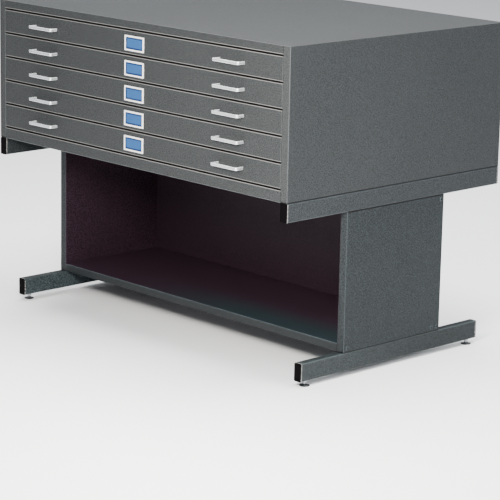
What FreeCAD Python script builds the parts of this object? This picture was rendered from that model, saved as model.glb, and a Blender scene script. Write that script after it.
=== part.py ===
"""Flat file cabinet: a steel cabinet of five shallow plan drawers on a raised base.

The base is two H-shaped end frames, joined by a book shelf and a back panel, on four levelling glides.
Each drawer has a bent front pan, a tray on rear rollers, a fixed rear hood, a hinged front depressor
that keeps sheets flat, two bow handles and a label holder with its card.

Frame: +X to the right of someone facing the drawers, +Y to the back, +Z up, in millimetres.
The origin is on the floor, under the middle of the bounding box (the handles stand out at the front).
"""

import FreeCAD
import Part
import Sketcher
import os

DIMENSIONS = [
    ("width", 1219.2, "cabinet width"),
    ("depth", 838.2, "cabinet depth, without the handles"),
    ("base_height", 508.0, "floor to the underside of the cabinet"),
    ("sheet", 1.2, "sheet steel thickness"),
    ("bend", 2.2, "outer radius of a bend in sheet steel"),
    ("end_bend", 0.8, "outer radius at the ends of a drawer front"),
    ("strip_return", 12.0, "inner return of the strips above and below the drawers"),
    ("seam", 0.8, "gap between a side panel and the tube under it"),
    ("glide_height", 15.9, "floor to the underside of a foot tube"),
    ("tube_height", 50.8, "end frame tube height"),
    ("tube_width", 25.4, "end frame tube width"),
    ("tube_wall", 2.0, "end frame tube wall"),
    ("tube_corner", 3.5, "end frame tube corner radius"),
    ("foot_length", 706.0, "length of a foot tube"),
    ("pedestal_depth", 384.0, "front to back size of an upright pedestal"),
    ("pedestal_lip", 14.0, "inner lip of a pedestal pan"),
    ("shelf_top", 90.5, "floor to the shelf surface"),
    ("shelf_flange", 22.5, "height of the shelf's front flange"),
    ("back_flange", 15.0, "side flange of the base back panel"),
    ("bottom_strip", 34.9, "cabinet underside to the middle of the lowest drawer gap"),
    ("pitch", 69.85, "drawer to drawer spacing"),
    ("top_strip", 25.4, "highest drawer gap to the cabinet top"),
    ("gap", 4.0, "gap between drawer fronts"),
    ("side_gap", 0.8, "gap between a drawer front and a stile"),
    ("stile", 25.4, "front face of a cabinet side panel"),
    ("stile_return", 15.0, "inner return of a stile"),
    ("rear_lip", 14.0, "rear lip of a cabinet side panel"),
    ("front_depth", 18.0, "depth of a drawer front pan"),
    ("tray_clear", 8.6, "stile to the outside of a tray wall, across the cabinet"),
    ("tray_length", 772.0, "front to back size of a tray"),
    ("tray_floor", 4.0, "gap middle to the underside of a tray"),
    ("tray_height", 54.0, "height of a tray wall"),
    ("hanger", 7.5, "width of a tray's side hanger"),
    ("hanger_rise", 46.0, "gap middle to the underside of a hanger"),
    ("hood_depth", 120.0, "front to back size of the rear hood"),
    ("hood_lip", 8.0, "front lip of the rear hood"),
    ("flap_length", 116.0, "hinge axis to the free edge of a depressor"),
    ("flap_slope", 22.0, "slope of a depressor at rest, in degrees"),
    ("flap_lip", 6.0, "stiffening lip of a depressor"),
    ("flap_end_gap", 3.0, "gap between a depressor and a tray wall"),
    ("flap_set_back", 12.0, "front face to the depressor hinge axis"),
    ("flap_rise", 50.0, "gap middle to the depressor hinge axis"),
    ("flap_barrel", 4.0, "radius of the depressor's hinge barrel"),
    ("rod_radius", 2.5, "radius of the depressor's hinge rod"),
    ("roller_radius", 11.0, "radius of a drawer roller"),
    ("roller_width", 14.0, "width of a drawer roller"),
    ("roller_rise", 30.0, "gap middle to a roller axis"),
    ("roller_inset", 11.0, "tray's rear end to a roller axis"),
    ("roller_gap", 14.0, "tray wall to a roller"),
    ("pin_radius", 3.0, "radius of a roller's axle pin"),
    ("running_gap", 0.05, "radial clearance of a turning fit"),
    ("runner_flange", 20.8, "width of a runner channel's flanges"),
    ("runner_length", 790.0, "length of a runner channel"),
    ("runner_set_back", 22.0, "front face to the front end of a runner"),
    ("runner_play", 2.0, "roller to the upper flange of its runner"),
    ("runner_clear", 0.3, "roller to the lower flange of its runner"),
    ("shoe_length", 20.0, "front to back size of a glide shoe"),
    ("shoe_width", 10.0, "width of a glide shoe"),
    ("shoe_height", 5.7, "height of a glide shoe"),
    ("handle_span", 95.25, "centre to centre of a handle's legs"),
    ("handle_out", 25.4, "front face to the outside of a handle bar"),
    ("handle_height", 8.2, "height of a handle bar"),
    ("handle_bar", 6.0, "thickness of a handle bar"),
    ("handle_leg", 7.0, "thickness of a handle leg"),
    ("handle_corner", 6.0, "outer corner radius of a handle"),
    ("handle_edge", 1.9, "edge radius of a handle"),
    ("handle_offset", 391.0, "cabinet middle to the middle of a handle"),
    ("handle_rise", 34.0, "gap middle to the middle of a handle"),
    ("label_width", 80.0, "label holder width"),
    ("label_height", 42.0, "label holder height"),
    ("label_rise", 12.0, "gap middle to the underside of a label holder"),
    ("label_thick", 2.6, "label holder thickness"),
    ("label_border", 4.2, "face width of a label holder's frame"),
    ("label_edge", 0.6, "edge radius of a label holder"),
    ("card_slot", 0.9, "depth of the card slot behind the frame"),
    ("card_lap", 2.4, "how far the card reaches behind the frame"),
    ("card_thick", 0.5, "label card thickness"),
    ("plug_face", 2.0, "thickness of the face that covers a tube end"),
    ("plug_edge", 0.7, "edge radius of a plug's face"),
    ("plug_depth", 14.0, "depth of a tube end plug"),
    ("plug_gap", 0.1, "gap between a plug and the inside of its tube"),
    ("plug_wall", 2.0, "wall of a plug's hollow insert"),
    ("glide_inset", 28.0, "foot tube end to a glide axis"),
    ("stud_radius", 4.0, "radius of a glide stud"),
    ("stud_reach", 14.0, "how far a stud rises inside its tube"),
    ("collar_height", 5.0, "height of a glide's hex collar"),
    ("collar_radius", 7.5, "corner radius of a glide's hex collar"),
    ("collar_gap", 0.3, "gap between a hex collar and the tube above it"),
    ("pad_radius", 14.3, "radius of a glide pad"),
    ("pad_height", 6.5, "height of a glide pad"),
    ("pad_chamfer", 1.2, "chamfer under a glide pad's rim"),
    ("pad_rim", 2.2, "height of a glide pad's rim"),
    ("pad_neck", 10.3, "radius where a glide pad's cone starts"),
    ("pad_step", 3.4, "height where a glide pad's cone starts"),
    ("nut_radius", 8.5, "radius of a weld nut"),
    ("nut_height", 8.0, "height of a weld nut"),
    ("screw_head", 5.5, "radius of a pedestal screw's head"),
    ("screw_rise", 2.4, "height of a pedestal screw's head"),
    ("screw_shank", 2.4, "radius of a pedestal screw's shank"),
    ("screw_length", 8.0, "length of a pedestal screw's shank"),
    ("screw_dome", 1.9, "edge radius of a pedestal screw's head"),
    ("cross_arm", 2.8, "centre to the end of a screw's cross recess"),
    ("cross_half", 0.6, "half the width of a cross recess"),
    ("cross_depth", 1.3, "depth of a cross recess"),
    ("screw_edge", 13.0, "pedestal edge to a corner screw"),
    ("screw_pair", 20.0, "spacing of the rear pair of screws"),
]
DRAWER_COUNT = 5
SIDES = {"left": -1, "right": 1}

# Places that several pieces share, as expressions of the sheet's cells.
HALF = "(Dims.width / 2)"
FRONT = "((Dims.handle_out - Dims.depth) / 2)"
BACK = "((Dims.handle_out + Dims.depth) / 2)"
MIDDLE = "(Dims.handle_out / 2)"
FOOT_TOP = "(Dims.glide_height + Dims.tube_height)"
POST_TOP = "(Dims.base_height - Dims.tube_height)"
CABINET_HEIGHT = f"(Dims.bottom_strip + {DRAWER_COUNT} * Dims.pitch + Dims.top_strip)"
PEDESTAL_FRONT = f"({MIDDLE} - Dims.pedestal_depth / 2)"
TUBE_MIDDLE = {side: f"{side} * ({HALF} - Dims.tube_width / 2)" for side in SIDES.values()}
BAY_HALF = f"({HALF} - Dims.tube_width)"
OPENING_HALF = f"({HALF} - Dims.stile)"
TRAY_HALF = f"({OPENING_HALF} - Dims.tray_clear)"
TRAY_BACK = f"({FRONT} + Dims.sheet + Dims.tray_length)"

doc = FreeCAD.newDocument("FlatFileCabinet")
sheet = doc.addObject("Spreadsheet::Sheet", "Dims")
parts = []


def fill_sheet():
    """Writes the driving dimensions, one row each: name, value, meaning."""
    for row, (alias, value, meaning) in enumerate(DIMENSIONS, start=1):
        sheet.set(f"A{row}", alias)
        sheet.set(f"B{row}", str(value))
        sheet.set(f"C{row}", meaning)
        sheet.setAlias(f"B{row}", alias)
    doc.recompute()


def value(expression):
    """The number that an expression of the sheet's cells gives now."""
    return float(sheet.evalExpression(str(expression)))


def bind(thing, **expressions):
    """Binds properties to expressions; a double underscore in a name stands for a dot."""
    for name, expression in expressions.items():
        thing.setExpression(name.replace("__", "."), str(expression))


def new_body(label, x="0", y="0", z="0"):
    body = doc.addObject("PartDesign::Body", label)
    body.Label = label
    bind(body, Placement__Base__x=x, Placement__Base__y=y, Placement__Base__z=z)
    return body


def sketch_on(body, role, offset="0"):
    """A sketch on one of the body's own planes, moved along the plane's normal by offset."""
    sketch = body.newObject("Sketcher::SketchObject", f"{body.Name}_sketch")
    plane = next(f for f in body.Origin.OriginFeatures if f.Role == role)
    sketch.AttachmentSupport = [(plane, "")]
    sketch.MapMode = "FlatFace"
    if offset != "0":
        bind(sketch, AttachmentOffset__Base__z=offset)
    return sketch


def fix_point(sketch, edge, point, across, up):
    """Ties a point of the sketch to two expressions."""
    for kind, expression in (("DistanceX", across), ("DistanceY", up)):
        index = sketch.addConstraint(Sketcher.Constraint(kind, -1, 1, edge, point, value(expression)))
        bind(sketch, **{f"Constraints[{index}]": expression})


def draw_outline(sketch, points):
    """A closed outline through points, each a pair of expressions."""
    corners = [FreeCAD.Vector(value(a), value(b), 0) for a, b in points]
    ends = corners[1:] + corners[:1]
    edges = [sketch.addGeometry(Part.LineSegment(*pair), False) for pair in zip(corners, ends)]
    for edge, following, point in zip(edges, edges[1:] + edges[:1], points):
        sketch.addConstraint(Sketcher.Constraint("Coincident", edge, 2, following, 1))
        fix_point(sketch, edge, 1, *point)


def draw_circle(sketch, across, up, radius):
    centre = FreeCAD.Vector(value(across), value(up), 0)
    edge = sketch.addGeometry(Part.Circle(centre, FreeCAD.Vector(0, 0, 1), value(radius)), False)
    fix_point(sketch, edge, 3, across, up)
    index = sketch.addConstraint(Sketcher.Constraint("Radius", edge, value(radius)))
    bind(sketch, **{f"Constraints[{index}]": radius})


def rectangle(x0, y0, x1, y1):
    return [(x0, y0), (x1, y0), (x1, y1), (x0, y1)]


def pad(body, sketch, length, reverse=False):
    feature = body.newObject("PartDesign::Pad", f"{body.Name}_pad")
    feature.Profile = sketch
    feature.Reversed = reverse
    bind(feature, Length=length)
    doc.recompute()
    return feature


def pocket(body, sketch, length, reverse=False):
    """Cuts along the sketch's normal, backwards unless reverse, and checks that it removed material."""
    before = body.Shape.Volume
    feature = body.newObject("PartDesign::Pocket", f"{body.Name}_pocket")
    feature.Profile = sketch
    feature.Reversed = reverse
    bind(feature, Length=length)
    doc.recompute()
    if body.Shape.Volume > before - 1e-3:
        raise RuntimeError(f"{body.Label}: a pocket cut nothing")
    return feature


def runs_along(edge, direction):
    if edge.Curve.TypeId != "Part::GeomLine":
        return False
    return abs(abs(edge.tangentAt(edge.FirstParameter).dot(direction)) - 1) < 1e-6


def fillet(body, direction, test, radius):
    """Rounds edges whose middle, in the body's own frame, passes the test.

    With a direction, only straight edges along it; with None, any edge.
    """
    base = body.Tip
    picked = []
    for number, edge in enumerate(base.Shape.Edges, start=1):
        if (direction is None or runs_along(edge, direction)) and test(edge.CenterOfMass):
            picked.append(f"Edge{number}")
    feature = body.newObject("PartDesign::Fillet", f"{body.Name}_fillet")
    feature.Base = (base, picked)
    bind(feature, Radius=radius)
    doc.recompute()
    return feature


def plate(body, role, corners, thickness, offset="0", reverse=False):
    """A rectangular plate on one of the body's planes."""
    sketch = sketch_on(body, role, offset)
    draw_outline(sketch, rectangle(*corners))
    return pad(body, sketch, thickness, reverse)


def channel(body, role, points, length, reverse=False):
    """A bent section given by its outline, drawn out to length."""
    sketch = sketch_on(body, role)
    draw_outline(sketch, points)
    return pad(body, sketch, length, reverse)


def group(label, pieces):
    """Separate solids that share one node."""
    compound = doc.addObject("Part::Compound", label)
    compound.Label = label
    compound.Links = pieces
    parts.append(compound)


X_AXIS = FreeCAD.Vector(1, 0, 0)
Y_AXIS = FreeCAD.Vector(0, 1, 0)
Z_AXIS = FreeCAD.Vector(0, 0, 1)


def near(a, b):
    return abs(a - b) < 1e-3


def tube(label, side, y, z, length):
    """A rectangular tube along Y; x is the end frame's middle."""
    body = new_body(label, TUBE_MIDDLE[side], y, z)
    outer = sketch_on(body, "XZ_Plane")
    draw_outline(outer, rectangle("-Dims.tube_width / 2", "0", "Dims.tube_width / 2", "Dims.tube_height"))
    pad(body, outer, length, reverse=True)
    fillet(body, Y_AXIS, lambda middle: True, "Dims.tube_corner")
    inner = sketch_on(body, "XZ_Plane")
    inset = "(Dims.tube_width / 2 - Dims.tube_wall)"
    draw_outline(inner, rectangle(f"-{inset}", "Dims.tube_wall", inset, "Dims.tube_height - Dims.tube_wall"))
    pocket(body, inner, length)
    return body


def glide_places():
    """Name and y of each glide on a foot tube."""
    return {
        "front": f"({MIDDLE} - Dims.foot_length / 2 + Dims.glide_inset)",
        "rear": f"({MIDDLE} + Dims.foot_length / 2 - Dims.glide_inset)",
    }


def weld_nut(label, side, y):
    body = new_body(label, TUBE_MIDDLE[side], y, "Dims.glide_height + Dims.tube_wall")
    ring = sketch_on(body, "XY_Plane")
    draw_circle(ring, "0", "0", "Dims.nut_radius")
    draw_circle(ring, "0", "0", "Dims.stud_radius + Dims.running_gap")
    pad(body, ring, "Dims.nut_height")
    return body


def foot_tube(name, side):
    """A foot tube with a stud hole and a weld nut at each end."""
    start = f"{MIDDLE} - Dims.foot_length / 2 + Dims.plug_face"
    length = "Dims.foot_length - 2 * Dims.plug_face"
    body = tube(f"foot_{name}_tube", side, start, "Dims.glide_height", length)
    inset = "Dims.glide_inset - Dims.plug_face"
    for place in (inset, f"{length} - ({inset})"):
        hole = sketch_on(body, "XY_Plane")
        draw_circle(hole, "0", place, "Dims.stud_radius + Dims.running_gap")
        pocket(body, hole, "Dims.tube_wall + 1", reverse=True)
    nuts = [weld_nut(f"weld_nut_{name}_{end}", side, y) for end, y in glide_places().items()]
    group(f"foot_tube_{name}", [body, *nuts])


def pedestal_screws():
    """y and z of each screw on a pedestal's outer face, from its lower front corner."""
    top = f"({POST_TOP} - {FOOT_TOP} - Dims.screw_edge)"
    rear = "(Dims.pedestal_depth - Dims.screw_edge)"
    return [
        ("Dims.screw_edge", "Dims.screw_edge"),
        (rear, "Dims.screw_edge"),
        (f"({rear} - Dims.screw_pair)", "Dims.screw_edge"),
        (rear, top),
    ]


def pedestal(name, side):
    """An upright: a bent outer pan with lips, and a flat inner liner held behind the lips."""
    height = f"{POST_TOP} - {FOOT_TOP}"
    place = (f"{side} * {HALF}", PEDESTAL_FRONT, FOOT_TOP)
    wide, deep, lip, thin = "Dims.tube_width", "Dims.pedestal_depth", "Dims.pedestal_lip", "Dims.sheet"
    section = [
        ("0", "0"),
        (wide, "0"),
        (wide, lip),
        (f"{wide} - {thin}", lip),
        (f"{wide} - {thin}", thin),
        (thin, thin),
        (thin, f"{deep} - {thin}"),
        (f"{wide} - {thin}", f"{deep} - {thin}"),
        (f"{wide} - {thin}", f"{deep} - {lip}"),
        (wide, f"{deep} - {lip}"),
        (wide, deep),
        ("0", deep),
    ]
    pan = new_body(f"pedestal_{name}_pan", *place)
    channel(pan, "XY_Plane", [(f"{-side} * ({u})", v) for u, v in section], height)
    depth = value(deep)
    fillet(pan, Z_AXIS, lambda middle: near(middle.y, 0) or near(middle.y, depth), "Dims.bend")
    for y, z in pedestal_screws():
        hole = sketch_on(pan, "YZ_Plane")
        draw_circle(hole, y, z, "Dims.screw_shank + 0.1")
        pocket(pan, hole, "Dims.sheet + 1", reverse=side < 0)
    liner = new_body(f"pedestal_{name}_liner", *place)
    inner, outer = f"{-side} * ({wide} - 2 * {thin})", f"{-side} * ({wide} - {thin})"
    plate(liner, "XY_Plane", (inner, f"{thin} + 0.2", outer, f"{deep} - {thin} - 0.2"), height)
    group(f"pedestal_{name}", [pan, liner])


def screw(label, side, y, z):
    """A pan-head screw with a cross recess, its head on the outside of a pedestal."""
    body = new_body(label, f"{side} * {HALF}", y, z)
    head = sketch_on(body, "YZ_Plane")
    draw_circle(head, "0", "0", "Dims.screw_head")
    pad(body, head, "Dims.screw_rise", reverse=side < 0)
    rise = side * value("Dims.screw_rise")
    fillet(body, None, lambda middle: near(middle.x, rise), "Dims.screw_dome")
    shank = sketch_on(body, "YZ_Plane")
    draw_circle(shank, "0", "0", "Dims.screw_shank")
    pad(body, shank, "Dims.screw_length", reverse=side > 0)
    arm, half = "Dims.cross_arm", "Dims.cross_half"
    for across, up in ((arm, half), (half, arm)):
        slot = sketch_on(body, "YZ_Plane", f"{side} * Dims.screw_rise")
        draw_outline(slot, rectangle(f"-{across}", f"-{up}", across, up))
        pocket(body, slot, "Dims.cross_depth", reverse=side < 0)
    return body


def screws():
    """The screws that hold the shelf and back panel to the pedestals."""
    pieces = []
    for name, side in SIDES.items():
        for number, (y, z) in enumerate(pedestal_screws(), start=1):
            at = (f"{PEDESTAL_FRONT} + {y}", f"{FOOT_TOP} + {z}")
            pieces.append(screw(f"screw_{name}_{number}", side, *at))
    group("pedestal_screws", pieces)


def shelf():
    """The book shelf: a pan with front and rear flanges turned down."""
    half = f"({BAY_HALF} - 0.2)"
    body = new_body("shelf", f"-{half}", PEDESTAL_FRONT, "Dims.shelf_top")
    deep, drop, thin = "Dims.pedestal_depth", "Dims.shelf_flange", "Dims.sheet"
    section = [
        ("0", "0"),
        (deep, "0"),
        (deep, f"-{drop}"),
        (f"{deep} - {thin}", f"-{drop}"),
        (f"{deep} - {thin}", f"-{thin}"),
        (thin, f"-{thin}"),
        (thin, f"-{drop}"),
        ("0", f"-{drop}"),
    ]
    channel(body, "YZ_Plane", section, f"2 * {half}")
    fillet(body, X_AXIS, lambda middle: near(middle.z, 0), "Dims.bend")
    parts.append(body)


def base_back():
    """The panel behind the shelf, with side flanges turned back."""
    half = f"({BAY_HALF} - 0.2)"
    place = f"{PEDESTAL_FRONT} + Dims.pedestal_depth - Dims.back_flange"
    body = new_body("base_back_panel", "0", place, "Dims.shelf_top")
    thin, back = "Dims.sheet", "Dims.back_flange"
    section = [
        (f"-{half}", "0"),
        (half, "0"),
        (half, back),
        (f"{half} - {thin}", back),
        (f"{half} - {thin}", thin),
        (f"-{half} + {thin}", thin),
        (f"-{half} + {thin}", back),
        (f"-{half}", back),
    ]
    channel(body, "XY_Plane", section, "Dims.base_height - Dims.shelf_top")
    parts.append(body)


def end_plug(label, side, y, z, forward):
    """A plastic plug: a face that covers the tube's end, and a hollow insert inside the tube.

    forward is 1 where the face looks to the front, -1 to the back.
    """
    body = new_body(label, TUBE_MIDDLE[side], y, z)
    face = sketch_on(body, "XZ_Plane")
    draw_outline(face, rectangle("-Dims.tube_width / 2", "0", "Dims.tube_width / 2", "Dims.tube_height"))
    pad(body, face, "Dims.plug_face", reverse=forward > 0)
    fillet(body, Y_AXIS, lambda middle: True, "Dims.tube_corner")
    fillet(body, None, lambda middle: near(middle.y, 0), "Dims.plug_edge")
    across = "(Dims.tube_width / 2 - Dims.tube_wall - Dims.plug_gap)"
    low, high = "(Dims.tube_wall + Dims.plug_gap)", "(Dims.tube_height - Dims.tube_wall - Dims.plug_gap)"
    insert = sketch_on(body, "XZ_Plane")
    draw_outline(insert, rectangle(f"-{across}", low, across, high))
    wall = "Dims.plug_wall"
    inner = (f"-{across} + {wall}", f"{low} + {wall}", f"{across} - {wall}", f"{high} - {wall}")
    draw_outline(insert, rectangle(*inner))
    bind(insert, AttachmentOffset__Base__z=f"{-forward} * (Dims.plug_face - 0.5)")
    pad(body, insert, "Dims.plug_depth - Dims.plug_face + 0.5", reverse=forward > 0)
    return body


def end_plugs():
    """The eight plugs that close the ends of the four tubes."""
    foot = ("Dims.glide_height", "Dims.foot_length / 2")
    top = (POST_TOP, "Dims.depth / 2")
    pieces = []
    for name, side in SIDES.items():
        for level, (z, half) in {"foot": foot, "top": top}.items():
            for end, forward in {"front": 1, "rear": -1}.items():
                y = f"{MIDDLE} - {forward} * {half}"
                pieces.append(end_plug(f"plug_{name}_{level}_{end}", side, y, z, forward))
    group("tube_end_plugs", pieces)


def glide(name, side, end, y):
    """A levelling glide: a cone-topped pad, and a stud with a hex collar that stops under the tube."""
    at = (TUBE_MIDDLE[side], y)
    pad_body = new_body(f"glide_{end}_{name}_pad", *at, "0")
    profile = sketch_on(pad_body, "XZ_Plane")
    outline = [
        ("0", "0"),
        ("Dims.pad_radius - Dims.pad_chamfer", "0"),
        ("Dims.pad_radius", "Dims.pad_chamfer"),
        ("Dims.pad_radius", "Dims.pad_rim"),
        ("Dims.pad_neck", "Dims.pad_step"),
        ("Dims.stud_radius + 1", "Dims.pad_height"),
        ("0", "Dims.pad_height"),
    ]
    draw_outline(profile, outline)
    turned = pad_body.newObject("PartDesign::Revolution", f"{pad_body.Name}_turned")
    turned.Profile = profile
    turned.ReferenceAxis = (profile, ["V_Axis"])
    turned.Angle = 360
    stud = new_body(f"glide_{end}_{name}_stud", *at, "Dims.pad_height")
    shank = sketch_on(stud, "XY_Plane")
    draw_circle(shank, "0", "0", "Dims.stud_radius")
    pad(stud, shank, "Dims.glide_height - Dims.pad_height + Dims.stud_reach")
    under_tube = "Dims.glide_height - Dims.pad_height - Dims.collar_gap"
    collar = sketch_on(stud, "XY_Plane", f"{under_tube} - Dims.collar_height")
    turns = [f"{60 * corner} deg" for corner in range(6)]
    reach = "Dims.collar_radius"
    draw_outline(collar, [(f"{reach} * cos({turn})", f"{reach} * sin({turn})") for turn in turns])
    pad(stud, collar, "Dims.collar_height")
    group(f"glide_{end}_{name}", [pad_body, stud])


def cabinet_side(name, side):
    """A side panel: one sheet bent round to make the front stile and a rear lip."""
    body = new_body(f"cabinet_side_{name}", f"{side} * {HALF}", FRONT, "Dims.base_height + Dims.seam")
    deep, thin = "Dims.depth", "Dims.sheet"
    section = [
        ("0", "0"),
        ("Dims.stile", "0"),
        ("Dims.stile", "Dims.stile_return"),
        (f"Dims.stile - {thin}", "Dims.stile_return"),
        (f"Dims.stile - {thin}", thin),
        (thin, thin),
        (thin, f"{deep} - {thin}"),
        ("Dims.rear_lip", f"{deep} - {thin}"),
        ("Dims.rear_lip", deep),
        ("0", deep),
    ]
    height = f"{CABINET_HEIGHT} - Dims.seam - {thin}"
    channel(body, "XY_Plane", [(f"{-side} * ({u})", v) for u, v in section], height)
    fillet(body, Z_AXIS, lambda middle: near(middle.y, 0) or near(middle.x, 0), "Dims.bend")
    parts.append(body)


def cabinet_top():
    """The top sheet, with a front strip that hangs between the stiles."""
    thin, back = "Dims.sheet", "Dims.strip_return"
    body = new_body("cabinet_top", "0", FRONT, f"Dims.base_height + {CABINET_HEIGHT} - {thin}")
    plate(body, "XY_Plane", (f"-{HALF}", "0", HALF, "Dims.depth"), thin)
    drop = f"-(Dims.top_strip - {thin} - Dims.gap / 2)"
    reach = f"({OPENING_HALF} - 0.2)"
    plate(body, "XZ_Plane", (f"-{reach}", drop, reach, thin), thin, reverse=True)
    plate(body, "XY_Plane", (f"-{reach}", "0", reach, back), thin, drop)
    top, low = value(thin), value(drop)
    fillet(body, X_AXIS, lambda middle: near(middle.y, 0) and near(middle.z, low), "Dims.bend")
    fillet(body, X_AXIS, lambda middle: near(middle.z, top), "Dims.sheet * 0.8")
    parts.append(body)


def cabinet_back():
    """The flat back sheet, inside the side panels' rear lips."""
    half = f"({HALF} - Dims.sheet - 0.2)"
    body = new_body("cabinet_back", "0", f"{BACK} - 2 * Dims.sheet", "Dims.base_height + Dims.sheet")
    height = f"{CABINET_HEIGHT} - 2 * Dims.sheet"
    plate(body, "XZ_Plane", (f"-{half}", "0", half, height), "Dims.sheet", reverse=True)
    parts.append(body)


def cabinet_bottom():
    """The bottom sheet, with the lower front strip turned up between the stiles."""
    thin = "Dims.sheet"
    body = new_body("cabinet_bottom", "0", FRONT, "Dims.base_height")
    inside = f"({HALF} - {thin} - 0.2)"
    start = "Dims.stile_return + 0.5"
    plate(body, "XY_Plane", (f"-{inside}", start, inside, f"Dims.depth - {thin}"), thin)
    reach = f"({OPENING_HALF} - 0.2)"
    top = "(Dims.bottom_strip - Dims.gap / 2)"
    plate(body, "XY_Plane", (f"-{reach}", "0", reach, start), thin)
    plate(body, "XZ_Plane", (f"-{reach}", "0", reach, top), thin, reverse=True)
    plate(body, "XY_Plane", (f"-{reach}", "0", reach, "Dims.strip_return"), thin, f"{top} - {thin}")
    fillet(body, X_AXIS, lambda middle: near(middle.y, 0), "Dims.bend")
    parts.append(body)


def drawer_level(number):
    """Height of the middle of the gap under a drawer; drawer 1 is the highest."""
    return f"(Dims.base_height + Dims.bottom_strip + {DRAWER_COUNT - number} * Dims.pitch)"


def runners():
    """Roller channels on the cabinet sides, each with a nylon shoe that carries the tray's hanger."""
    low = "(Dims.roller_rise - Dims.roller_radius - Dims.runner_clear - Dims.sheet)"
    high = "(Dims.roller_rise + Dims.roller_radius + Dims.runner_play + Dims.sheet)"
    wide, thin = "Dims.runner_flange", "Dims.sheet"
    section = [
        ("0", low),
        (wide, low),
        (wide, f"{low} + {thin}"),
        (thin, f"{low} + {thin}"),
        (thin, f"{high} - {thin}"),
        (wide, f"{high} - {thin}"),
        (wide, high),
        ("0", high),
    ]
    pieces = []
    for number in range(1, DRAWER_COUNT + 1):
        for name, side in SIDES.items():
            at = (f"{side} * ({HALF} - {thin})", f"{FRONT} + Dims.runner_set_back", drawer_level(number))
            body = new_body(f"runner_{name}_{number}", *at)
            outline = [(f"{-side} * ({u})", v) for u, v in section]
            channel(body, "XZ_Plane", outline, "Dims.runner_length", True)
            shoe = new_body(f"shoe_{name}_{number}", *at)
            inner = f"{-side} * ({wide} + Dims.shoe_width)"
            bottom = "(Dims.hanger_rise - 0.3 - Dims.shoe_height)"
            corners = (f"{-side} * {wide}", bottom, inner, f"{bottom} + Dims.shoe_height")
            plate(shoe, "XZ_Plane", corners, "Dims.shoe_length", reverse=True)
            pieces += [body, shoe]
    group("drawer_runners", pieces)


def drawer_front(number):
    """A front pan: a face with returns on all four edges."""
    half = f"({OPENING_HALF} - Dims.side_gap)"
    low, high = "Dims.gap / 2", "(Dims.pitch - Dims.gap / 2)"
    thin = "Dims.sheet"
    body = new_body(f"drawer_{number}_front", "0", FRONT, drawer_level(number))
    plate(body, "XZ_Plane", (f"-{half}", low, half, high), "Dims.front_depth", reverse=True)
    fillet(body, X_AXIS, lambda middle: near(middle.y, 0), "Dims.bend")
    fillet(body, Z_AXIS, lambda middle: near(middle.y, 0), "Dims.end_bend")
    inside = sketch_on(body, "XZ_Plane", f"-{thin}")
    hollow = (f"-{half} + {thin}", f"{low} + {thin}", f"{half} - {thin}", f"{high} - {thin}")
    draw_outline(inside, rectangle(*hollow))
    pocket(body, inside, "Dims.front_depth")
    parts.append(body)


def drawer_tray(number):
    """The tray: floor, walls, side hangers, the depressor's hinge rod and the roller pins."""
    half, thin = TRAY_HALF, "Dims.sheet"
    long, top = "Dims.tray_length", "(Dims.tray_floor + Dims.tray_height)"
    body = new_body(f"drawer_{number}_tray", "0", f"{FRONT} + {thin}", drawer_level(number))
    plate(body, "XY_Plane", (f"-{half}", "0", half, long), thin, offset="Dims.tray_floor")
    plate(body, "XZ_Plane", (f"-{half}", "Dims.tray_floor", half, top), thin, f"-({long} - {thin})", True)
    for edge in (f"-{half}", f"{half} - {thin}"):
        plate(body, "YZ_Plane", ("0", "Dims.tray_floor", long, top), thin, offset=edge)
    hanger_start = "(Dims.front_depth + 2)"
    for inner, outer in ((f"-{half}", f"-{half} - Dims.hanger"), (half, f"{half} + Dims.hanger")):
        plate(body, "XY_Plane", (inner, hanger_start, outer, long), thin, offset="Dims.hanger_rise")
    rod = sketch_on(body, "YZ_Plane", f"-({half} - {thin})")
    draw_circle(rod, f"Dims.flap_set_back - {thin}", "Dims.flap_rise", "Dims.rod_radius")
    pad(body, rod, f"2 * ({half} - {thin})")
    reach = "(Dims.roller_gap + Dims.roller_width + 1)"
    for start in (f"-{half} - {reach}", half):
        pin = sketch_on(body, "YZ_Plane", start)
        draw_circle(pin, f"{long} - Dims.roller_inset", "Dims.roller_rise", "Dims.pin_radius")
        pad(body, pin, reach)
    parts.append(body)


def drawer_hood(number):
    """The fixed hood that keeps sheets from curling at the back."""
    half, thin = TRAY_HALF, "Dims.sheet"
    at = f"{TRAY_BACK} - Dims.hood_depth"
    level = f"{drawer_level(number)} + Dims.tray_floor + Dims.tray_height"
    body = new_body(f"drawer_{number}_hood", "0", at, level)
    inner = f"({half} - {thin} - 0.2)"
    plate(body, "XY_Plane", (f"-{half}", "0", half, "Dims.hood_depth"), thin)
    plate(body, "XZ_Plane", (f"-{inner}", "-Dims.hood_lip", inner, thin), thin, reverse=True)
    parts.append(body)


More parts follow.
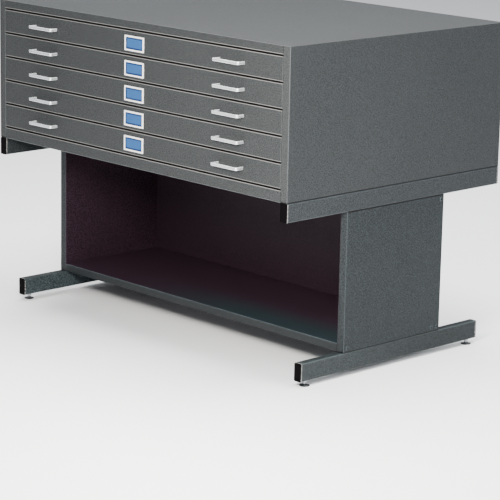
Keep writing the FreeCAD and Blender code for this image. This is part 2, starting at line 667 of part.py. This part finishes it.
def drawer_depressor(number):
    """The hinged flap that holds sheets down: a barrel on the tray's rod, a sloping sheet and a lip."""
    half = f"({TRAY_HALF} - Dims.sheet - Dims.flap_end_gap)"
    at = (f"-{half}", f"{FRONT} + Dims.flap_set_back", f"{drawer_level(number)} + Dims.flap_rise")
    body = new_body(f"drawer_{number}_depressor", *at)

    def across(along, off):
        """A point at a distance along the flap and off its plane, as expressions."""
        slope = "Dims.flap_slope * 1 deg"
        level = f"({along}) * cos({slope}) + ({off}) * sin({slope})"
        return (level, f"({off}) * cos({slope}) - ({along}) * sin({slope})")

    barrel = sketch_on(body, "YZ_Plane")
    draw_circle(barrel, "0", "0", "Dims.flap_barrel")
    pad(body, barrel, f"2 * {half}")
    thin, long = "Dims.sheet", "Dims.flap_length"
    section = [
        across("Dims.rod_radius + 0.8", f"-{thin} / 2"),
        across(long, f"-{thin} / 2"),
        across(long, "Dims.flap_lip"),
        across(f"{long} - {thin}", "Dims.flap_lip"),
        across(f"{long} - {thin}", f"{thin} / 2"),
        across("Dims.rod_radius + 0.8", f"{thin} / 2"),
    ]
    channel(body, "YZ_Plane", section, f"2 * {half}")
    bore = sketch_on(body, "YZ_Plane")
    draw_circle(bore, "0", "0", "Dims.rod_radius + Dims.running_gap")
    pocket(body, bore, f"2 * {half}", reverse=True)
    parts.append(body)


def handle(label, x, z):
    """A bow handle: a flat bar with rounded corners on two legs."""
    body = new_body(label, x, FRONT, f"{z} - Dims.handle_height / 2")
    outer = "((Dims.handle_span + Dims.handle_leg) / 2)"
    inner = "((Dims.handle_span - Dims.handle_leg) / 2)"
    out, back = "-Dims.handle_out", "-(Dims.handle_out - Dims.handle_bar)"
    section = [
        (f"-{outer}", "0"),
        (f"-{outer}", out),
        (outer, out),
        (outer, "0"),
        (inner, "0"),
        (inner, back),
        (f"-{inner}", back),
        (f"-{inner}", "0"),
    ]
    channel(body, "XY_Plane", section, "Dims.handle_height")
    front, rear = value(out), value(back)
    fillet(body, Z_AXIS, lambda middle: near(middle.y, front), "Dims.handle_corner")
    fillet(body, Z_AXIS, lambda middle: near(middle.y, rear), "Dims.handle_corner / 2")
    top = value("Dims.handle_height")

    def at_rim(middle):
        return middle.y < -0.01 and (near(middle.z, 0) or near(middle.z, top))

    fillet(body, None, at_rim, "Dims.handle_edge")
    return body


def drawer_handles(number):
    z = f"({drawer_level(number)} + Dims.handle_rise)"
    pieces = [
        handle(f"handle_{name}_{number}", f"{side} * Dims.handle_offset", z) for name, side in SIDES.items()
    ]
    group(f"drawer_{number}_handles", pieces)


def label_holder(number):
    """The label frame, with a slot behind it for the card."""
    z = f"{drawer_level(number)} + Dims.label_rise"
    body = new_body(f"drawer_{number}_label_holder", "0", FRONT, z)
    half, tall, rim = "Dims.label_width / 2", "Dims.label_height", "Dims.label_border"
    plate(body, "XZ_Plane", (f"-{half}", "0", half, tall), "Dims.label_thick")
    front = value("-Dims.label_thick")
    for axis in (X_AXIS, Z_AXIS):
        fillet(body, axis, lambda middle: near(middle.y, front), "Dims.label_edge")
    window = sketch_on(body, "XZ_Plane")
    draw_outline(window, rectangle(f"-{half} + {rim}", rim, f"{half} - {rim}", f"{tall} - {rim}"))
    pocket(body, window, "Dims.label_thick", reverse=True)
    slot = sketch_on(body, "XZ_Plane")
    lap = "(Dims.label_border - Dims.card_lap - 0.5)"
    draw_outline(slot, rectangle(f"-{half} + {lap}", lap, f"{half} - {lap}", f"{tall} - {lap}"))
    pocket(body, slot, "Dims.card_slot", reverse=True)
    parts.append(body)


def label_card(number):
    z = f"{drawer_level(number)} + Dims.label_rise"
    body = new_body(f"drawer_{number}_label_card", "0", f"{FRONT} - 0.2", z)
    half, tall, rim = "Dims.label_width / 2", "Dims.label_height", "(Dims.label_border - Dims.card_lap)"
    outline = (f"-{half} + {rim}", rim, f"{half} - {rim}", f"{tall} - {rim}")
    plate(body, "XZ_Plane", outline, "Dims.card_thick")
    parts.append(body)


def drawer_rollers(number):
    """The two rear rollers, which turn together on one axis."""
    pieces = []
    at = (f"{TRAY_BACK} - Dims.roller_inset", f"{drawer_level(number)} + Dims.roller_rise")
    for name, side in SIDES.items():
        body = new_body(f"roller_{name}_{number}", f"{side} * ({TRAY_HALF} + Dims.roller_gap)", *at)
        wheel = sketch_on(body, "YZ_Plane")
        draw_circle(wheel, "0", "0", "Dims.roller_radius")
        draw_circle(wheel, "0", "0", "Dims.pin_radius + Dims.running_gap")
        pad(body, wheel, "Dims.roller_width", reverse=side < 0)
        pieces.append(body)
    group(f"drawer_{number}_rollers", pieces)


def build():
    fill_sheet()
    for name, side in SIDES.items():
        foot_tube(name, side)
        top = (f"{FRONT} + Dims.plug_face", POST_TOP, "Dims.depth - 2 * Dims.plug_face")
        parts.append(tube(f"top_tube_{name}", side, *top))
        pedestal(name, side)
        cabinet_side(name, side)
        for end, y in glide_places().items():
            glide(name, side, end, y)
    for make in (screws, shelf, base_back, end_plugs, cabinet_top, cabinet_back, cabinet_bottom, runners):
        make()
    makers = (
        drawer_front,
        drawer_tray,
        drawer_hood,
        drawer_depressor,
        drawer_handles,
        label_holder,
        label_card,
        drawer_rollers,
    )
    for number in range(1, DRAWER_COUNT + 1):
        for make in makers:
            make(number)
    doc.recompute()


def check_and_export():
    """Stops if any object failed, then writes each sub-part to its own STEP file."""
    for thing in doc.Objects:
        if {"Invalid", "Error"} & set(thing.State):
            raise RuntimeError(f"{thing.Label} failed: {thing.State}")
    for part in parts:
        if part.Shape.isNull() or not part.Shape.isValid() or not part.Shape.Solids:
            raise RuntimeError(f"{part.Label} has no valid solid")
    os.makedirs("parts", exist_ok=True)
    for part in parts:
        part.Shape.exportStep(f"parts/{part.Label}.step")
    print(len(parts), "sub-parts written")


build()
check_and_export()
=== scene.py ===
"""Looks for the flat file cabinet: camera, studio, floor, and a procedural material for every CAD node.

Lengths are in metres, in the CAD model's own frame: +X right, +Y back, +Z up, origin on the floor.
"""

import bpy
import math
from collections import namedtuple
from mathutils import Matrix, Vector


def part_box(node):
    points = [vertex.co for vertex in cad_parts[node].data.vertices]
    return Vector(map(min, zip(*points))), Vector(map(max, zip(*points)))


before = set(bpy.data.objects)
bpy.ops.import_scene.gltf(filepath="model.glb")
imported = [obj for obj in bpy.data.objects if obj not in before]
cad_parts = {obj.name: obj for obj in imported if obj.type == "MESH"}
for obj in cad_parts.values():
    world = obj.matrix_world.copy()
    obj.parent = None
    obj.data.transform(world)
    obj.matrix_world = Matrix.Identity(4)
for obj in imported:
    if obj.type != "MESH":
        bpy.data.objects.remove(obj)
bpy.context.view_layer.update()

# ---------------------------------------------------------------- places on the object, and the floor

DRAWERS = range(1, 6)
SIDES = ("left", "right")
DRAWER_PITCH = 0.06985  # from one drawer to the next
SHEET = 0.0012  # thickness of the sheet steel
SHOE_END = 0.5876  # from the middle of the cabinet to the outer side of a glide shoe
SOLE_TOP = 0.0034  # top of the plastic sole under a glide's pad
JOINT_LINE = 0.0028  # width of the painted shade line where two pieces meet
EDGE_DEPTH = 0.0025  # how far back from its front a stile or a pedestal has the painted light of its front edge
FLANGE_DEPTH = 0.0016  # how far back from its front the shelf has the tone of its flange
SHELF_SKIN = 0.0014  # how far down from its top the shelf has the painted light and shade of the bay
RIM_HIGHLIGHT_WIDTH = 0.0030  # width of the painted highlight round a tube's end
CARD_BORDER = 0.0072  # from the card's edge to the inner side of its darker border
FLOOR_SIZE = 60  # from the middle of the floor to its edges

FRONT_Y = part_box("drawer_1_front")[0].y
GAP_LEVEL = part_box("drawer_5_front")[0].z - 0.002  # middle of the lowest drawer gap
SIDE_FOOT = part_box("cabinet_side_right")[0].z
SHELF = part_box("shelf")
BACK_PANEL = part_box("base_back_panel")
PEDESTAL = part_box("pedestal_right")
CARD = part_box("drawer_5_label_card")
TOP_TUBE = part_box("top_tube_right")
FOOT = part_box("foot_tube_right")

# ---------------------------------------------------------------- paint tones

# Every tone below is the one paint of the cabinet and its base, made lighter or darker by part and by face as
# painted light and shade.
FRONT_TONE = (0.0225, 0.0245, 0.0252)
# the paint darker on the cabinet's sides and back: painted shade
SIDE_TONE = (0.0172, 0.0194, 0.0205)
# the paint lighter on the front edges of the sides: painted light
STILE_LIT_TONE = (0.0262, 0.0282, 0.0286)
TUBE_TONE = (0.0150, 0.0178, 0.0192)
# the feet lighter than the pedestals: painted light
FOOT_TONE = (0.0155, 0.0195, 0.0206)
# the feet darker towards the back: painted shade
FOOT_REAR_SHADE_TONE = (0.0098, 0.0126, 0.0136)
# the feet's inner faces lighter: painted light
FOOT_INNER_LIT_TONE = (0.0245, 0.0330, 0.0360)
PEDESTAL_TONE = (0.0095, 0.0124, 0.0136)
# the pedestals' front edges lighter: painted light
PEDESTAL_EDGE_LIT_TONE = (0.0125, 0.0155, 0.0168)
# purple near black on the faces round the bay: painted shade
BAY_SHADE_TONE = (0.0195, 0.0103, 0.0160)
SHELF_TONE = (0.0140, 0.0162, 0.0175)
# a teal patch on the front right of the shelf's top: painted light
SHELF_LIT_TONE = (0.0150, 0.0240, 0.0280)
# dark purple towards the left and the back of the shelf's top: painted shade
SHELF_SHADE_TONE = (0.024, 0.0125, 0.020)
# the shelf's front face lighter: painted light
FLANGE_TONE = (0.0165, 0.0210, 0.0240)
# near black: painted shade in the drawer gaps and in the joints
RECESS_SHADE_TONE = (0.0010, 0.0007, 0.0009)
# painted highlight, beside the drawer gaps and round the tube ends
PAINTED_HIGHLIGHT = (0.150, 0.147, 0.142)
BEND_HIGHLIGHT = 4.5  # how much lighter than its paint a bend is, as a painted highlight

# ---------------------------------------------------------------- the paint's texture, in cells per metre

CLOUDS = 1.6
# patches along the painted highlights on the bends
HIGHLIGHT_PATCHES = 25
MOTTLE = 330
FLECKS = 620
PEEL = 1500

# ---------------------------------------------------------------- the sheet round a drawer gap

GAP_RIM = 0.0044  # from a gap's middle to the outer side of its painted highlights
GAP_DARK = 0.0029  # from a gap's middle to the end of its shade
RETURN_END = 0.0195  # from a gap's middle to the end of the returns beside it
RIM_DEPTH = 0.0021  # how far the painted highlights go back from the front

# ---------------------------------------------------------------- camera and light

SENSOR = 36  # millimetres, as is the lens
LENS = 158.04
CAMERA_REACH = 200  # past the far corner of the floor
CAMERA_PLACE = (4.5584, -4.2942, 1.6919)
CAMERA_YAW, CAMERA_PITCH, CAMERA_ROLL = (math.radians(degrees) for degrees in (46.406, 13.264, 1.154))


def make_camera():
    """A long lens from the front right, a little above the top of the cabinet."""
    data = bpy.data.cameras.new("camera")
    camera = bpy.data.objects.new("camera", data)
    bpy.context.collection.objects.link(camera)
    data.sensor_width = SENSOR
    data.lens = LENS
    data.clip_end = CAMERA_REACH
    across = Matrix.Rotation(CAMERA_YAW, 4, "Z")
    down = Matrix.Rotation(math.pi / 2 - CAMERA_PITCH, 4, "X")
    roll = Matrix.Rotation(CAMERA_ROLL, 4, "Z")
    camera.matrix_world = Matrix.Translation(CAMERA_PLACE) @ across @ down @ roll
    bpy.context.scene.camera = camera


def area_light(name, place, target, size, power, colour=(1, 1, 1)):
    """A rectangular light at a place, turned to a target, with its power in watts."""
    data = bpy.data.lights.new(name, "AREA")
    data.shape = "RECTANGLE"
    data.size, data.size_y = size
    data.energy = power
    data.color = colour
    light = bpy.data.objects.new(name, data)
    bpy.context.collection.objects.link(light)
    light.location = place
    light.rotation_euler = (Vector(target) - Vector(place)).to_track_quat("-Z", "Y").to_euler()
    return light


def make_studio():
    """Soft light from the front right, the right and above, and a pale world."""
    key_colour, side_colour, accent_colour = (1.0, 0.99, 0.96), (0.95, 0.98, 1.0), (1.0, 0.96, 0.91)
    area_light("key", (1.7, -2.5, 2.9), (0.35, -0.35, 0.65), size=(1.3, 0.9), power=62, colour=key_colour)
    area_light("side", (4.2, 0.6, 2.4), (0.5, 0.0, 0.6), size=(2.0, 1.6), power=150, colour=side_colour)
    # The accent stands close to the front right corner, inside the picture, so it is hidden from the camera.
    place, corner = (1.20, -1.60, 1.2), (0.66, -0.42, 0.68)
    accent = area_light("accent", place, corner, size=(0.4, 0.4), power=84, colour=accent_colour)
    accent.visible_camera = False
    area_light("top", (0.0, 0.3, 4.2), (0.0, 0.0, 0.0), size=(4.0, 3.0), power=590)
    world = bpy.data.worlds.new("studio")
    bpy.context.scene.world = world
    world.use_nodes = True
    background = world.node_tree.nodes["Background"]
    background.inputs["Color"].default_value = (0.93, 0.95, 1.0, 1)
    background.inputs["Strength"].default_value = 0.68


# ---------------------------------------------------------------- node trees


class Graph:
    """A material's node tree, with a Principled shader and short ways to add nodes to it."""

    def __init__(self, name, **sockets):
        """The sockets are numbers for the shader, with _ for each space in a socket's name."""
        self.material = bpy.data.materials.new(name)
        self.material.use_nodes = True
        self.tree = self.material.node_tree
        self.shader = self.tree.nodes["Principled BSDF"]
        for socket, value in sockets.items():
            self.shader.inputs[socket.replace("_", " ")].default_value = value
        self.place = self.tree.nodes.new("ShaderNodeTexCoord").outputs["Object"]

    def put(self, socket, source):
        """Sets an input to a number or colour, or links it to an output."""
        if isinstance(source, bpy.types.NodeSocket):
            self.tree.links.new(source, socket)
        else:
            socket.default_value = source

    def math(self, operation, *values):
        node = self.tree.nodes.new("ShaderNodeMath")
        node.operation = operation
        for socket, value in zip(node.inputs, values):
            self.put(socket, value)
        return node.outputs[0]

    def split(self, vector):
        """The X, Y and Z outputs of a vector."""
        node = self.tree.nodes.new("ShaderNodeSeparateXYZ")
        self.put(node.inputs[0], vector)
        return node.outputs

    def axis(self, name):
        """One coordinate of the place, in metres."""
        return self.split(self.place)[name]

    def distance(self, axis, place):
        """How far the surface is from a place on an axis."""
        return self.math("ABSOLUTE", self.math("SUBTRACT", self.axis(axis), place))

    def stretched(self, scale):
        """The place with its axes scaled, for grain that runs one way."""
        node = self.tree.nodes.new("ShaderNodeMapping")
        self.put(node.inputs["Vector"], self.place)
        node.inputs["Scale"].default_value = scale
        return node.outputs[0]

    def noise(self, scale, detail=2.0, rough=0.5, place=None):
        node = self.tree.nodes.new("ShaderNodeTexNoise")
        self.put(node.inputs["Vector"], place or self.place)
        node.inputs["Scale"].default_value = scale
        node.inputs["Detail"].default_value = detail
        node.inputs["Roughness"].default_value = rough
        return node.outputs[0]

    def step(self, value, low, high, start=0.0, end=1.0):
        """Goes smoothly from start to end while value goes from low to high, or down from high to low."""
        node = self.tree.nodes.new("ShaderNodeMapRange")
        node.interpolation_type = "SMOOTHSTEP"
        for socket, number in zip(node.inputs, (value, low, high, start, end)):
            self.put(socket, number)
        return node.outputs[0]

    def under(self, value, limit, soft):
        """1 where a value is under a limit and 0 where it is over, with a soft border."""
        return self.step(value, limit + soft, limit - soft)

    def mix(self, amount, first, second):
        node = self.tree.nodes.new("ShaderNodeMix")
        node.data_type = "RGBA"
        self.put(node.inputs["Factor"], amount)
        self.put(node.inputs[6], first)
        self.put(node.inputs[7], second)
        return node.outputs[2]

    def multiply(self, colour, amount):
        """A colour made lighter or darker by a number."""
        node = self.tree.nodes.new("ShaderNodeVectorMath")
        node.operation = "SCALE"
        self.put(node.inputs[0], colour)
        self.put(node.inputs["Scale"], amount)
        return node.outputs[0]

    def bends(self):
        """1 where the surface faces between two axes, as on a bend or a rounded edge, and 0 on flat faces."""
        geometry = self.tree.nodes.new("ShaderNodeNewGeometry")
        size = self.tree.nodes.new("ShaderNodeVectorMath")
        size.operation = "ABSOLUTE"
        self.put(size.inputs[0], geometry.outputs["True Normal"])
        x, y, z = self.split(size.outputs[0])
        return self.step(self.math("MAXIMUM", x, self.math("MAXIMUM", y, z)), 0.985, 0.90)

    def from_middle(self, middle):
        """How far up or down the surface is from the nearest middle; the middles repeat with the drawers."""
        turns = self.math("DIVIDE", self.math("SUBTRACT", self.axis("Z"), middle), DRAWER_PITCH)
        turn = self.math("FRACT", self.math("ADD", turns, 0.5))
        return self.math("MULTIPLY", self.math("ABSOLUTE", self.math("SUBTRACT", turn, 0.5)), DRAWER_PITCH)

    def bump(self, height, strength, distance):
        node = self.tree.nodes.new("ShaderNodeBump")
        node.inputs["Strength"].default_value = strength
        node.inputs["Distance"].default_value = distance
        self.put(node.inputs["Height"], height)
        self.put(self.shader.inputs["Normal"], node.outputs[0])

    def colour(self, source):
        self.put(self.shader.inputs["Base Color"], source)

    def roughness(self, source):
        self.put(self.shader.inputs["Roughness"], source)

    def metallic(self, source):
        self.put(self.shader.inputs["Metallic"], source)


def grey(tone, times=1.0):
    """A tone, made lighter or darker, as a colour socket takes it."""
    return tuple(c * times for c in tone) + (1,)


# ---------------------------------------------------------------- bands of another tone

# The paint goes over to the band's tone while the distance from a place on an axis goes from start to end.
Band = namedtuple("Band", "axis place start end tone")


def within(axis, place, width, tone, soft=0.0004):
    """A band that reaches as far as width from a place."""
    return Band(axis, place, width + soft, width - soft, tone)


def beyond(axis, place, width, tone, soft=0.0004):
    """A band of everything further than width from a place."""
    return Band(axis, place, width - soft, width + soft, tone)


def tube_end_highlights(box):
    """A painted highlight round both ends of a tube."""
    half = (box[1].y - box[0].y) / 2
    return beyond("Y", (box[0].y + box[1].y) / 2, half - RIM_HIGHLIGHT_WIDTH, PAINTED_HIGHLIGHT)


# ---------------------------------------------------------------- materials


def powder_coat(name, tone, edge=0.8, bands=(), gaps=False, grain=1.0):
    """Dark grey textured paint: soft mottling, light and dark flecks, orange peel with painted glints on it,
    and painted highlights on bent edges.

    edge is how strong the painted highlights on the bends are, and grain how much the flecks and the mottling
    stand out.
    gaps is for the sheet round the drawer gaps: the gaps and the returns beside them get painted shade, and
    the edges there painted highlights.
    """
    g = Graph(name, IOR=1.5, Specular_IOR_Level=0.16)
    base = g.mix(g.step(g.noise(CLOUDS, detail=3), 0.35, 0.65), grey(tone, 0.96), grey(tone, 1.04))
    for band in bands:
        away = g.distance(band.axis, band.place)
        base = g.mix(g.step(away, band.start, band.end), base, grey(band.tone))
    mottle = g.noise(MOTTLE, rough=0.6)
    flecks = g.noise(FLECKS, detail=3, rough=0.7)
    peel = g.noise(PEEL, rough=0.6)
    paint = g.multiply(base, g.step(mottle, 0.32, 0.68, 1 - 0.5 * grain, 1 + 0.5 * grain))
    for light_or_dark in (
        g.step(flecks, 0.54, 0.70, 1.0, 1 + 1.2 * grain),
        g.step(flecks, 0.30, 0.46, 1 - 0.5 * grain, 1.0),
        # lighter specks on the orange peel: painted glints
        g.step(peel, 0.56, 0.70, 1.0, 1.35),
    ):
        paint = g.multiply(paint, light_or_dark)
    rough = g.step(flecks, 0.3, 0.7, 0.46, 0.62)
    if edge:
        # bends get a painted highlight, in patches
        lit = g.math("MULTIPLY", g.bends(), g.step(g.noise(HIGHLIGHT_PATCHES), 0.3, 0.6, 0.7 * edge, edge))
        paint = g.mix(lit, paint, grey(tone, BEND_HIGHLIGHT))
    if gaps:
        # The edges beside a gap get painted highlights; the gap and the returns behind the front get painted
        # shade.
        away = g.from_middle(GAP_LEVEL)
        behind = g.math("SUBTRACT", g.axis("Y"), FRONT_Y)
        rim = g.math("MULTIPLY", g.under(away, GAP_RIM, 0.0003), g.under(behind, RIM_DEPTH, 0.0003))
        paint = g.mix(rim, paint, grey(PAINTED_HIGHLIGHT))
        returns = g.math("MULTIPLY", g.step(behind, 0.0010, 0.0018), g.under(away, RETURN_END, 0.0005))
        recess = g.math("MAXIMUM", returns, g.under(away, GAP_DARK, 0.0002))
        paint = g.mix(recess, paint, grey(RECESS_SHADE_TONE))
        rough = g.math("MAXIMUM", rough, g.math("MULTIPLY", recess, 0.98))
    g.colour(paint)
    g.roughness(rough)
    g.bump(g.math("ADD", g.math("MULTIPLY", flecks, 0.6), peel), strength=0.22, distance=0.0004)
    return g.material


def bright_metal(name, tone, rough, metallic, streak=(6, 900, 900), edge=1.0):
    """Satin metal with fine streaks along X and faint cloudiness; painted highlights make its rounded edges
    brighter by edge.
    """
    g = Graph(name, Metallic=metallic)
    streaks = g.noise(1.0, detail=3, rough=0.6, place=g.stretched(streak))
    face = g.mix(g.step(streaks, 0.3, 0.7), grey(tone, 0.93), grey(tone))
    g.colour(g.mix(g.bends(), face, grey(tone, edge)))
    brushed = g.step(streaks, 0.3, 0.7, rough * 0.75, rough * 1.2)
    g.roughness(g.math("ADD", brushed, g.step(g.noise(30), 0.4, 0.7, 0, 0.05)))
    g.bump(streaks, strength=0.06, distance=0.0002)
    return g.material


def plastic(name, tone, rough, gloss=0.5):
    """Moulded plastic with a fine grain and slightly uneven colour."""
    g = Graph(name, IOR=1.49, Specular_IOR_Level=gloss)
    grains = g.noise(PEEL)
    g.colour(g.mix(g.noise(60, detail=3), grey(tone, 0.85), grey(tone, 1.2)))
    g.roughness(g.step(grains, 0.3, 0.7, rough * 0.85, rough * 1.15))
    g.bump(grains, strength=0.15, distance=0.0003)
    return g.material


def card_paper():
    """A blue card, darker in a border close to its edge, with faint paper fibre."""
    g = Graph("card_paper", Roughness=0.7, Specular_IOR_Level=0.25)
    middle, half = (CARD[0] + CARD[1]) / 2, (CARD[1] - CARD[0]) / 2
    across = g.math("SUBTRACT", half.x, g.math("ABSOLUTE", g.axis("X")))
    up = g.math("SUBTRACT", half.z, g.from_middle(middle.z))
    border = g.under(g.math("MINIMUM", across, up), CARD_BORDER, 0.0004)
    fibre = g.noise(900, detail=4, rough=0.7, place=g.stretched((0.4, 1, 1)))
    face = g.mix(g.step(fibre, 0.35, 0.65), (0.0125, 0.062, 0.175, 1), (0.018, 0.074, 0.200, 1))
    g.colour(g.mix(border, face, (0.0015, 0.017, 0.072, 1)))
    g.bump(fibre, strength=0.1, distance=0.0002)
    return g.material


def glide_finish():
    """Zinc plated stud and cone on a dark plastic sole."""
    g = Graph("glide_finish")
    sole = g.under(g.axis("Z"), SOLE_TOP, 0.0002)
    spots = g.noise(500, detail=3)
    steel = g.mix(g.step(spots, 0.35, 0.65), (0.20, 0.21, 0.22, 1), (0.40, 0.41, 0.42, 1))
    g.colour(g.mix(sole, steel, (0.02, 0.02, 0.022, 1)))
    g.metallic(g.math("SUBTRACT", 1.0, sole))
    g.roughness(g.math("ADD", g.step(spots, 0.3, 0.7, 0.24, 0.36), g.math("MULTIPLY", sole, 0.2)))
    g.bump(spots, strength=0.08, distance=0.0002)
    return g.material


def runner_finish():
    """Zinc plated channels; their glide shoes, nearer the middle of the cabinet, are off-white nylon."""
    g = Graph("runner_finish")
    shoe = g.under(g.math("ABSOLUTE", g.axis("X")), SHOE_END, 0.0002)
    spangle = g.noise(160, detail=4, rough=0.7)
    zinc = g.mix(g.step(spangle, 0.35, 0.65), (0.48, 0.49, 0.50, 1), (0.66, 0.67, 0.68, 1))
    g.colour(g.mix(shoe, zinc, (0.74, 0.72, 0.66, 1)))
    g.metallic(g.math("SUBTRACT", 1.0, shoe))
    g.roughness(g.step(spangle, 0.3, 0.7, 0.28, 0.42))
    g.bump(spangle, strength=0.05, distance=0.0002)
    return g.material


def make_floor():
    """A plain pale floor, which is staging."""
    g = Graph("pale_floor", Roughness=0.6)
    g.colour(g.mix(g.noise(0.8), (0.86, 0.865, 0.87, 1), (0.89, 0.89, 0.89, 1)))
    mesh = bpy.data.meshes.new("floor")
    s = FLOOR_SIZE
    mesh.from_pydata([(-s, -s, 0), (s, -s, 0), (s, s, 0), (-s, s, 0)], [], [(0, 1, 2, 3)])
    mesh.materials.append(g.material)
    floor = bpy.data.objects.new("floor", mesh)
    bpy.context.collection.objects.link(floor)


# ---------------------------------------------------------------- which node gets which material


def dress(material, *names):
    """Gives CAD nodes a material."""
    for name in names:
        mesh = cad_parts[name].data
        mesh.materials.clear()
        mesh.materials.append(material)
        for polygon in mesh.polygons:
            polygon.material_index = 0


def both(stem):
    """The names of a left and a right node."""
    return [f"{stem}_{side}" for side in SIDES]


def per_drawer(*kinds):
    """The names of these nodes in every drawer."""
    return [f"drawer_{n}_{kind}" for n in DRAWERS for kind in kinds]


def paint_cabinet():
    # painted light along the front edges of the sides
    stile = within("Y", FRONT_Y, EDGE_DEPTH, STILE_LIT_TONE, soft=0.0005)
    # a painted shade line along the foot of each side
    seam = within("Z", SIDE_FOOT, JOINT_LINE, RECESS_SHADE_TONE)
    dress(powder_coat("side_paint", SIDE_TONE, edge=0.5, bands=[stile, seam]), *both("cabinet_side"))
    dress(powder_coat("back_paint", SIDE_TONE), "cabinet_back")
    front = powder_coat("front_paint", FRONT_TONE, gaps=True, grain=1.1)
    dress(front, "cabinet_top", "cabinet_bottom", *per_drawer("front"))
    dress(powder_coat("tray_paint", FRONT_TONE, edge=0), *per_drawer("tray", "hood", "depressor"))


def paint_end_frames():
    tube = powder_coat("tube_paint", TUBE_TONE, edge=0.5, grain=1.4, bands=[tube_end_highlights(TOP_TUBE)])
    dress(tube, *both("top_tube"))

    # the feet darken towards the back as painted shade, and their inner faces get painted light
    rearward = Band("Y", FOOT[0].y, 0.10, 0.60, FOOT_REAR_SHADE_TONE)
    inner_face = within("X", 0, FOOT[0].x + 0.00025, FOOT_INNER_LIT_TONE, soft=0.00015)
    bands = [rearward, inner_face, tube_end_highlights(FOOT)]
    dress(powder_coat("foot_paint", FOOT_TONE, edge=0.5, grain=1.8, bands=bands), *both("foot_tube"))

    # painted light on the pedestals' front edges, and painted shade on their faces toward the bay
    front_edge = within("Y", PEDESTAL[0].y, EDGE_DEPTH, PEDESTAL_EDGE_LIT_TONE, soft=0.0005)
    bay_side = within("X", 0, PEDESTAL[0].x + 2 * SHEET, BAY_SHADE_TONE, soft=0.0002)
    # painted shade lines where the pedestals meet the tubes
    joints = [within("Z", corner.z, JOINT_LINE, RECESS_SHADE_TONE) for corner in PEDESTAL]
    bands = [front_edge, bay_side, *joints]
    dress(powder_coat("pedestal_paint", PEDESTAL_TONE, edge=0.5, grain=1.8, bands=bands), *both("pedestal"))
    # edge=1.0 gives the screw heads painted highlights
    dress(powder_coat("screw_paint", PEDESTAL_TONE, edge=1.0), "pedestal_screws")


def paint_bay():
    # the back panel's front face gets the bay's painted shade; its rear face has the pedestals' tone
    rear_side = beyond("Y", 0, BACK_PANEL[0].y + SHEET / 2, PEDESTAL_TONE, soft=0.0002)
    dress(powder_coat("bay_shade_paint", BAY_SHADE_TONE, edge=0, bands=[rear_side], grain=0.5), "base_back_panel")

    # The shelf's top gets a painted light patch at the front right and painted shade towards the left and the
    # back; its front face is lighter as painted light.
    bands = [
        beyond("Y", SHELF[0].y, FLANGE_DEPTH, SHELF_LIT_TONE),
        Band("X", SHELF[1].x, 0.35, 0.95, SHELF_SHADE_TONE),
        Band("Y", SHELF[0].y, 0.03, 0.19, SHELF_SHADE_TONE),
        within("Y", SHELF[0].y, FLANGE_DEPTH, FLANGE_TONE),
        within("Z", 0, SHELF[1].z - SHELF_SKIN, SHELF_TONE, soft=0.0006),
        beyond("Y", 0, BACK_PANEL[0].y + 0.0002, SHELF_TONE, soft=0.0002),
    ]
    dress(powder_coat("shelf_paint", FLANGE_TONE, edge=0.6, bands=bands, grain=0.6), "shelf")


def dress_fittings():
    # the handles' rounded edges get strong painted highlights
    handle = bright_metal("handle_metal", (0.45, 0.46, 0.48), rough=0.24, metallic=0.5, edge=2.0)
    white, streak = (0.95, 0.94, 0.92), (40, 500, 500)
    label_frame = bright_metal("label_frame", white, rough=0.36, metallic=0.2, streak=streak)
    dress(handle, *per_drawer("handles"))
    dress(label_frame, *per_drawer("label_holder"))
    dress(card_paper(), *per_drawer("label_card"))
    dress(plastic("roller_nylon", (0.70, 0.69, 0.64), rough=0.4), *per_drawer("rollers"))
    dress(plastic("plug_plastic", (0.0013, 0.0010, 0.0012), rough=0.5, gloss=0.02), "tube_end_plugs")
    dress(glide_finish(), *both("glide_front"), *both("glide_rear"))
    dress(runner_finish(), "drawer_runners")


make_camera()
make_studio()
make_floor()
paint_cabinet()
paint_end_frames()
paint_bay()
dress_fittings()
